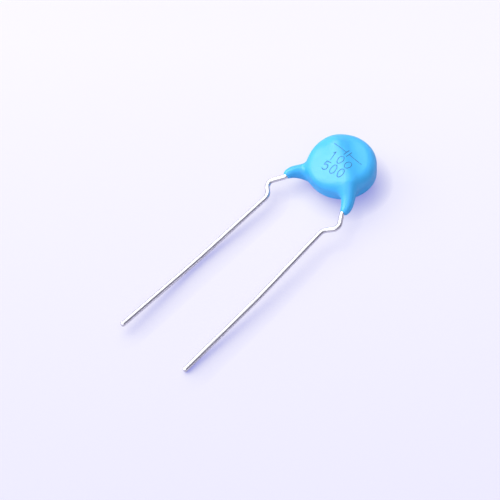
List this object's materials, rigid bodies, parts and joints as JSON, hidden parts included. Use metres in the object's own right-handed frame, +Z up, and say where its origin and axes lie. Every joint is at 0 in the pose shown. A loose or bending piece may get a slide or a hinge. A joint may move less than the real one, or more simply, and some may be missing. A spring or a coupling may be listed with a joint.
{
  "type": "ceramic disc capacitor",
  "caption": "Round epoxy-dipped disc with a round-ended leg over each shoulder and a kinked tinned wire lead from each leg, for soldering into a circuit board.",
  "frame": {"origin": "Middle of the bottom of the part's box, on the surface the part lies on.", "axes": "+Y runs from the cut ends of the leads to the disc; +Z is up, out of the printed face; +X completes the right-handed set, toward the front lead."},
  "size_m": [0.0092, 0.0304, 0.0043],
  "materials": {
    "epoxy": "smooth dipped epoxy, satin, sky blue",
    "ceramic": "fired, matt",
    "silver": "fired silver, matt",
    "solder": "solder, satin",
    "tinned_wire": "tinned copper wire, bright satin"
  },
  "bodies": {
    "root": {"epoxy_coating": "epoxy", "ceramic_disc": "ceramic", "front_electrode": "silver", "rear_electrode": "silver", "front_solder": "solder", "rear_solder": "solder", "front_lead": "tinned_wire", "rear_lead": "tinned_wire"}
  },
  "joints": []
}
